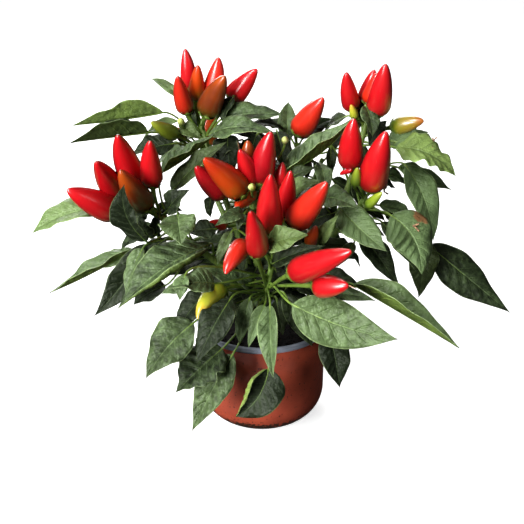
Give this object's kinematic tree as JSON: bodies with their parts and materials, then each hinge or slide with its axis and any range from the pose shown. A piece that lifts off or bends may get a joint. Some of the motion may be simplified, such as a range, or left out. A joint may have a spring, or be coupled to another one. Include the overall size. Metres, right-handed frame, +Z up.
{
  "type": "potted chilli pepper plant",
  "caption": "Bushy chilli plant with upright pointed berries and drooping leaves on forked stems, rooted in peat in a small round pot that stands on its flat base.",
  "frame": {"origin": "middle of the pot's flat underside, on the surface it stands on", "axes": "+Z up along the pot's axis; -Y towards the side of the plant that faced the light; +X along the widest spread of the leaves"},
  "size_m": [0.3871, 0.2298, 0.3031],
  "materials": {
    "pot_plastic": "matte terracotta-coloured plastic, darkened by dirt at the foot",
    "pot_lip": "matte grey inside and lip",
    "peat": "moist crumbly peat",
    "green_stem": "green skin, browner at the foot",
    "leaf": "satin leaf skin with pale veins",
    "chilli_red": "glossy waxy skin",
    "chilli_orange": "glossy waxy skin",
    "chilli_turning": "glossy waxy skin, half ripe",
    "chilli_green": "glossy waxy skin, unripe",
    "green_stalk": "satin stalks and calyxes",
    "dry_remains": "dry brown petals and leaf edges"
  },
  "bodies": {
    "root": {"pot": "pot_plastic", "soil": "peat", "stem": "green_stem", "leaf_left_broad": "leaf", "leaf_left_folded": "leaf", "leaf_left_slender": "leaf", "leaf_left_outermost": "leaf", "leaf_left_upright": "leaf", "leaf_left_heart": "leaf", "leaf_left_reaching": "leaf", "leaf_topleft_upper": "leaf", "leaf_topleft_lower": "leaf", "leaf_topleft_inner": "leaf", "leaf_middle_back": "leaf", "leaf_centre_diagonal": "leaf", "leaf_right_triangle": "leaf", "leaf_right_broad": "leaf", "leaf_right_weathered": "leaf", "leaf_right_under": "leaf", "leaf_right_outermost": "leaf", "leaf_topright_hanging": "leaf", "leaf_topright_edge_on": "leaf", "leaf_topright_bright": "leaf", "leaf_lowright_long": "leaf", "leaf_front_right_broad": "leaf", "leaf_pot_right": "leaf", "leaf_front_centre": "leaf", "leaf_front_left_broad": "leaf", "leaf_lowleft_broad": "leaf", "leaf_lowleft_curled": "leaf", "leaf_centre_bright": "leaf", "leaf_pot_left_bright": "leaf", "leaf_pot_left_dark": "leaf", "leaf_pot_front": "leaf", "leaf_back_left_high": "leaf", "leaf_back_left_low": "leaf", "leaf_back_middle": "leaf", "leaf_back_right_high": "leaf", "leaf_back_right_low": "leaf", "chilli_topleft_1": "chilli_red", "chilli_topleft_2": "chilli_orange", "chilli_topleft_3": "chilli_orange", "chilli_topleft_4": "chilli_turning", "chilli_topleft_5": "chilli_red", "chilli_middle_1": "chilli_orange", "chilli_left_1": "chilli_red", "chilli_left_2": "chilli_red", "chilli_left_3": "chilli_turning", "chilli_centre_1": "chilli_orange", "chilli_centre_2": "chilli_red", "chilli_front_1": "chilli_red", "chilli_front_2": "chilli_orange", "chilli_front_3": "chilli_red", "chilli_front_4": "chilli_red", "chilli_front_5": "chilli_red", "chilli_topright_1": "chilli_red", "chilli_topright_2": "chilli_red", "chilli_right_1": "chilli_red", "chilli_right_2": "chilli_red", "chilli_back_1": "chilli_orange"}
  },
  "joints": []
}
